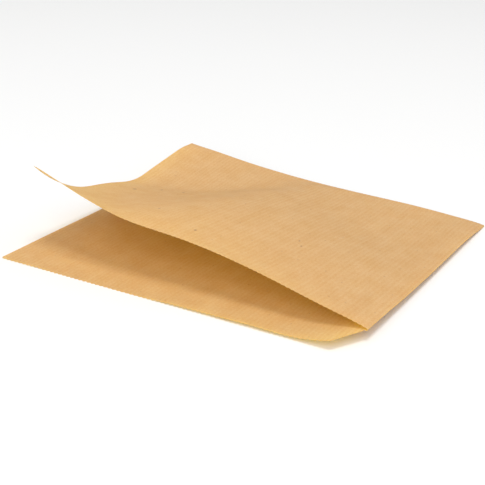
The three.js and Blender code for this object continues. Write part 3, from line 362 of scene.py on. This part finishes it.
mesh = bpy.data.meshes.new("kraft_paper_bag")
mesh.from_pydata(points.tolist(), [], all_faces)
layer = mesh.uv_layers.new(name="sheet_map")
flat_map = np.array([xy for c in maps for xy in c]) / MAP_MM + 0.005
layer.data.foreach_set("uv", flat_map.astype(np.float32).ravel())
mesh.shade_smooth()
rim_edges = {tuple(sorted(e)) for p, q, _ in rim for e in ((p, q), (count + p, count + q))}
sharp = np.array([tuple(sorted(e.vertices)) in rim_edges for e in mesh.edges])
mesh.attributes.new("sharp_edge", "BOOLEAN", "EDGE")
mesh.attributes["sharp_edge"].data.foreach_set("value", sharp)
mesh.validate()
mesh.update()
bag = bpy.data.objects.new("kraft_paper_bag", mesh)
bpy.context.scene.collection.objects.link(bag)
print("triangles", sum(len(f) - 2 for f in all_faces))


# ---------------------------------------------------------------- kraft paper
def srgb(r, g, b):
    return tuple(((c / 255 / 12.92) if c <= 10 else ((c / 255 + 0.055) / 1.055) ** 2.4) for c in (r, g, b)) + (1.0,)


def kraft():
    m = bpy.data.materials.new("kraft_paper")
    m.use_nodes = True
    nt = m.node_tree
    nt.nodes.clear()
    new, link = nt.nodes.new, nt.links.new
    output = new("ShaderNodeOutputMaterial")
    bsdf = new("ShaderNodeBsdfPrincipled")
    # thin paper lets some of the light through, and it comes out warmer
    through = new("ShaderNodeBsdfTranslucent")
    both = new("ShaderNodeMixShader")
    both.inputs["Fac"].default_value = LETS_THROUGH
    link(bsdf.outputs["BSDF"], both.inputs[1])
    link(through.outputs["BSDF"], both.inputs[2])
    link(both.outputs["Shader"], output.inputs["Surface"])
    bsdf.inputs["IOR"].default_value = 1.45
    bsdf.inputs["Specular IOR Level"].default_value = 0.45
    uvm = new("ShaderNodeUVMap")
    uvm.uv_map = "sheet_map"

    def mapped(sx, sy, sz=1.0):
        node = new("ShaderNodeMapping")
        node.inputs["Scale"].default_value = (sx * MAP_MM, sy * MAP_MM, sz)
        link(uvm.outputs["UV"], node.inputs["Vector"])
        return node.outputs["Vector"]

    def noise(vec, scale, detail=2.0, rough=0.5, distortion=0.0):
        node = new("ShaderNodeTexNoise")
        node.noise_dimensions = "2D"
        node.inputs["Scale"].default_value = scale
        node.inputs["Detail"].default_value = detail
        node.inputs["Roughness"].default_value = rough
        node.inputs["Distortion"].default_value = distortion
        link(vec, node.inputs["Vector"])
        return node.outputs["Fac"]

    def math_(op, a, b=None, c=None, clamp=False):
        node = new("ShaderNodeMath")
        node.operation = op
        node.use_clamp = clamp
        for k, x in enumerate((a, b, c)):
            if x is None:
                continue
            if isinstance(x, (int, float)):
                node.inputs[k].default_value = x
            else:
                link(x, node.inputs[k])
        return node.outputs[0]

    def remap(x, a, b, c, d):
        node = new("ShaderNodeMapRange")
        for k, val in zip(("From Min", "From Max", "To Min", "To Max"), (a, b, c, d)):
            node.inputs[k].default_value = val
        link(x, node.inputs["Value"])
        return node.outputs["Result"]

    mm = mapped(1, 1)
    # how the paper's own texture is made up
    cloud = noise(mm, 0.10, 3.0, 0.55)              # formation, some 10 mm across
    grain = noise(mm, 1.1, 4.0, 0.62)               # about 1 mm
    fibre_a = noise(mapped(0.55, 3.2), 1.0, 2.0, 0.6, 0.6)
    fibre_b = noise(mapped(3.4, 0.5), 1.0, 2.0, 0.6, 0.6)
    # the ribs: a wave along the sheet's width, a little uneven from rib to rib
    wave = new("ShaderNodeTexWave")
    wave.wave_type, wave.bands_direction, wave.wave_profile = "BANDS", "X", "SIN"
    wave.inputs["Scale"].default_value = 2 * math.pi / 20 / RIB_PITCH
    wave.inputs["Distortion"].default_value = 0.45
    wave.inputs["Detail"].default_value = 1.0
    wave.inputs["Detail Scale"].default_value = 0.4
    link(mm, wave.inputs["Vector"])
    ribs = wave.outputs["Fac"]
    stripe = noise(mapped(0.47, 0.012), 1.0, 1.0, 0.5)

    tone = math_("ADD", math_("MULTIPLY", remap(cloud, 0.3, 0.7, -1, 1), 0.028),
                 math_("MULTIPLY", remap(grain, 0.3, 0.7, -1, 1), 0.046))
    tone = math_("ADD", tone, math_("MULTIPLY", remap(fibre_a, 0.3, 0.7, -1, 1), 0.026))
    tone = math_("ADD", tone, math_("MULTIPLY", remap(fibre_b, 0.3, 0.7, -1, 1), 0.020))
    # the rib bands in the base colour are partly painted shade of the ribs' relief, partly the paper's own thicker and
    # thinner bands
    tone = math_("ADD", tone, math_("MULTIPLY", remap(ribs, 0.0, 1.0, -1, 1), 0.016))
    tone = math_("ADD", tone, math_("MULTIPLY", remap(stripe, 0.3, 0.7, -1, 1), 0.010))
    level = math_("ADD", tone, 1.0)

    mix = new("ShaderNodeMix")
    mix.data_type, mix.blend_type = "RGBA", "MIX"
    mix.inputs["A"].default_value = srgb(*KRAFT_DARK)
    mix.inputs["B"].default_value = srgb(*KRAFT_LIGHT)
    link(remap(level, 0.9, 1.1, 0.0, 1.0), mix.inputs["Factor"])
    colour = mix.outputs["Result"]
    warm = new("ShaderNodeMix")
    warm.data_type, warm.blend_type = "RGBA", "MIX"
    warm.inputs["A"].default_value = (0.90, 0.78, 0.05, 1.0)
    warm.inputs["B"].default_value = (1.0, 0.96, 0.12, 1.0)
    link(mix.inputs["Factor"].links[0].from_socket, warm.inputs["Factor"])

    # small dark flecks in the pulp: a few where they show, and sparse ones elsewhere
    sep = new("ShaderNodeSeparateXYZ")
    link(mm, sep.inputs["Vector"])
    fleck = None
    for fx, fy, fr in FLECKS:
        dx = math_("SUBTRACT", sep.outputs["X"], fx + 0.005 * MAP_MM)
        dy = math_("SUBTRACT", sep.outputs["Y"], fy + 0.005 * MAP_MM)
        d = math_("SQRT", math_("ADD", math_("MULTIPLY", dx, dx), math_("MULTIPLY", math_("MULTIPLY", dy, dy), 0.35)))
        one = remap(d, fr * 0.4, fr, 1.0, 0.0)
        fleck = one if fleck is None else math_("MAXIMUM", fleck, one)
    vor = new("ShaderNodeTexVoronoi")
    vor.voronoi_dimensions = "2D"
    vor.inputs["Scale"].default_value = 0.09
    link(mapped(1.0, 0.62), vor.inputs["Vector"])
    pick = new("ShaderNodeSeparateColor")
    link(vor.outputs["Color"], pick.inputs["Color"])
    spot = math_("MULTIPLY", remap(vor.outputs["Distance"], 0.016, 0.034, 1.0, 0.0), math_("GREATER_THAN", pick.outputs["Red"], 0.55))
    fleck = math_("MAXIMUM", fleck, math_("MULTIPLY", spot, 0.45))
    dark = new("ShaderNodeMix")
    dark.data_type, dark.blend_type = "RGBA", "MIX"
    dark.inputs["B"].default_value = srgb(150, 108, 70)
    link(colour, dark.inputs["A"])
    link(math_("MULTIPLY", fleck, 0.5), dark.inputs["Factor"])
    link(dark.outputs["Result"], bsdf.inputs["Base Color"])
    dim = new("ShaderNodeMix")
    dim.data_type, dim.blend_type = "RGBA", "MIX"
    dim.inputs["B"].default_value = (0.35, 0.20, 0.05, 1.0)
    link(warm.outputs["Result"], dim.inputs["A"])
    link(dark.inputs["Factor"].links[0].from_socket, dim.inputs["Factor"])
    link(dim.outputs["Result"], through.inputs["Color"])

    link(math_("ADD", remap(grain, 0.3, 0.7, ROUGH - 0.05, ROUGH + 0.06), math_("MULTIPLY", ribs, -0.04)), bsdf.inputs["Roughness"])

    height = math_("ADD", math_("MULTIPLY", grain, 0.45), math_("MULTIPLY", fibre_a, 0.35))
    height = math_("ADD", height, math_("MULTIPLY", fibre_b, 0.30))
    bump = new("ShaderNodeBump")
    bump.inputs["Strength"].default_value = 0.35
    bump.inputs["Distance"].default_value = 0.00006
    link(height, bump.inputs["Height"])
    link(bump.outputs["Normal"], bsdf.inputs["Normal"])
    link(bump.outputs["Normal"], through.inputs["Normal"])
    return m


KRAFT_DARK, KRAFT_LIGHT = (239, 188, 127), (255, 219, 174)
ROUGH = 0.58
LETS_THROUGH = 0.42
FLECKS = [
    (327.3, 83.0, 1.10),
    (319.8, 96.2, 0.80),
    (309.1, 99.5, 0.80),
    (286.6, 41.5, 0.70),
    (260.1, 29.0, 0.70),
    (226.8, 65.0, 0.50),
    (223.6, 60.5, 0.50),
]
paper = kraft()
mesh.materials.append(paper)
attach(bag, "root")
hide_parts("paper_bag")

# ---------------------------------------------------------------- floor, light and camera
floor_mesh = bpy.data.meshes.new("floor")
floor_mesh.from_pydata([(-3, -3, 0), (3, -3, 0), (3, 3, 0), (-3, 3, 0)], [], [(0, 1, 2, 3)])
floor = bpy.data.objects.new("floor", floor_mesh)
bpy.context.scene.collection.objects.link(floor)
floor.location.z = -0.00002
fm = bpy.data.materials.new("floor")
fm.use_nodes = True
fb = fm.node_tree.nodes["Principled BSDF"]
fb.inputs["Base Color"].default_value = (0.96, 0.96, 0.955, 1)
fb.inputs["Roughness"].default_value = 0.9
fb.inputs["Specular IOR Level"].default_value = 0.1
floor_mesh.materials.append(fm)

world = bpy.data.worlds.new("studio")
world.use_nodes = True
world.node_tree.nodes["Background"].inputs["Color"].default_value = (1, 1, 1, 1)
world.node_tree.nodes["Background"].inputs["Strength"].default_value = 0.53
bpy.context.scene.world = world


def area(name, size, place, towards, watts):
    data = bpy.data.lights.new(name, "AREA")
    data.shape, data.size, data.energy = "SQUARE", size, watts
    ob = bpy.data.objects.new(name, data)
    bpy.context.scene.collection.objects.link(ob)
    place, towards = np.array(place, float), np.array(towards, float)
    z = place - towards
    z /= np.linalg.norm(z)
    x = np.cross((0, 1, 0) if abs(z[1]) < 0.9 else (1, 0, 0), z)
    x /= np.linalg.norm(x)
    y = np.cross(z, x)
    ob.matrix_world = Matrix([(*np.array([x, y, z])[:, 0], place[0]), (*np.array([x, y, z])[:, 1], place[1]), (*np.array([x, y, z])[:, 2], place[2]), (0, 0, 0, 1)])
    return ob


area("key", 0.8, (0.2, -0.2, 2.2), (0, 0, 0), 18.0)
area("front", 2.0, (0.65, -1.85, 1.15), (0, 0, 0), 26.0)

# the camera looks from the mouth's right, as the photograph does
CAM_AT, CAM_YAW, CAM_PITCH, CAM_ROLL, CAM_F = (222.12, -418.47, 194.57), -28.710, 22.402, -1.861, 1089.0
a, b, c = (math.radians(x) for x in (CAM_YAW, CAM_PITCH, CAM_ROLL))
forward = np.array([math.sin(a) * math.cos(b), math.cos(a) * math.cos(b), -math.sin(b)])
right = np.array([math.cos(a), -math.sin(a), 0.0])
down = np.cross(forward, right)
x_axis = right * math.cos(c) + down * math.sin(c)
y_axis = -(-right * math.sin(c) + down * math.cos(c))
cam_data = bpy.data.cameras.new("camera")
cam_data.sensor_fit = "HORIZONTAL"
cam_data.sensor_width = 36.0
cam_data.lens = CAM_F / 485.0 * 36.0
cam_data.clip_start, cam_data.clip_end = 0.01, 20
camera = bpy.data.objects.new("camera", cam_data)
bpy.context.scene.collection.objects.link(camera)
camera.matrix_world = Matrix([
    (x_axis[0], y_axis[0], -forward[0], CAM_AT[0] / 1000),
    (x_axis[1], y_axis[1], -forward[1], CAM_AT[1] / 1000),
    (x_axis[2], y_axis[2], -forward[2], CAM_AT[2] / 1000),
    (0, 0, 0, 1)])
bpy.context.scene.camera = camera
bpy.context.scene.view_settings.view_transform = "Standard"
